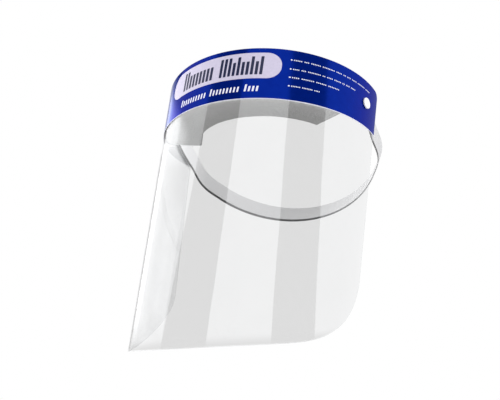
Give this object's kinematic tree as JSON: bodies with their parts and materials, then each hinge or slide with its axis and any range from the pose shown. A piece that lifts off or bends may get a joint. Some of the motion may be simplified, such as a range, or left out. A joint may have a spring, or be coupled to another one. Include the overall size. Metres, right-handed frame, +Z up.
{
  "type": "face shield",
  "caption": "Clear wrap-around face shield with a blue header band, a curved foam brow pad and an elastic head strap on snap rivets.",
  "frame": {"origin": "centre of the brow pad's inner face, where it rests on the middle of the wearer's forehead", "axes": "+Z up, towards the header band's top edge; +Y back, towards the wearer's head and the strap; +X towards the wearer's left side"},
  "size_m": [0.1676, 0.172, 0.2214],
  "materials": {
    "visor_sheet": "clear, polished both sides",
    "header_film": "gloss printed film",
    "foam_tape": "double-sided tape",
    "foam_pad": "soft open-cell foam",
    "snap_cap_left": "moulded, satin",
    "snap_cap_right": "moulded, satin",
    "snap_ring_left": "moulded, satin",
    "snap_ring_right": "moulded, satin",
    "strap_run_left": "flat woven elastic",
    "strap_run_right": "flat woven elastic",
    "strap_back": "flat woven elastic"
  },
  "bodies": {
    "shield": {"visor_sheet": "visor_sheet", "header_film": "header_film", "foam_tape": "foam_tape", "foam_pad": "foam_pad", "snap_cap_left": "snap_cap_left", "snap_cap_right": "snap_cap_right", "snap_ring_left": "snap_ring_left", "snap_ring_right": "snap_ring_right"},
    "strap_sides": {"strap_run_left": "strap_run_left", "strap_run_right": "strap_run_right"},
    "strap_loop": {"strap_back": "strap_back"}
  },
  "joints": [
    {"name": "strap_swivel", "type": "hinge", "parent": "shield", "child": "strap_sides", "pos_m": [0, 0.04594, 0.00626], "axis": [1, 0, 0], "range_deg": [-20, 20]},
    {"name": "strap_stretch", "type": "slide", "parent": "strap_sides", "child": "strap_loop", "axis": [0, 0.8988, -0.4384], "range_m": [0, 0.05], "stiffness_N_per_m": 50, "deforming": ["strap_run_left", "strap_run_right"]}
  ]
}
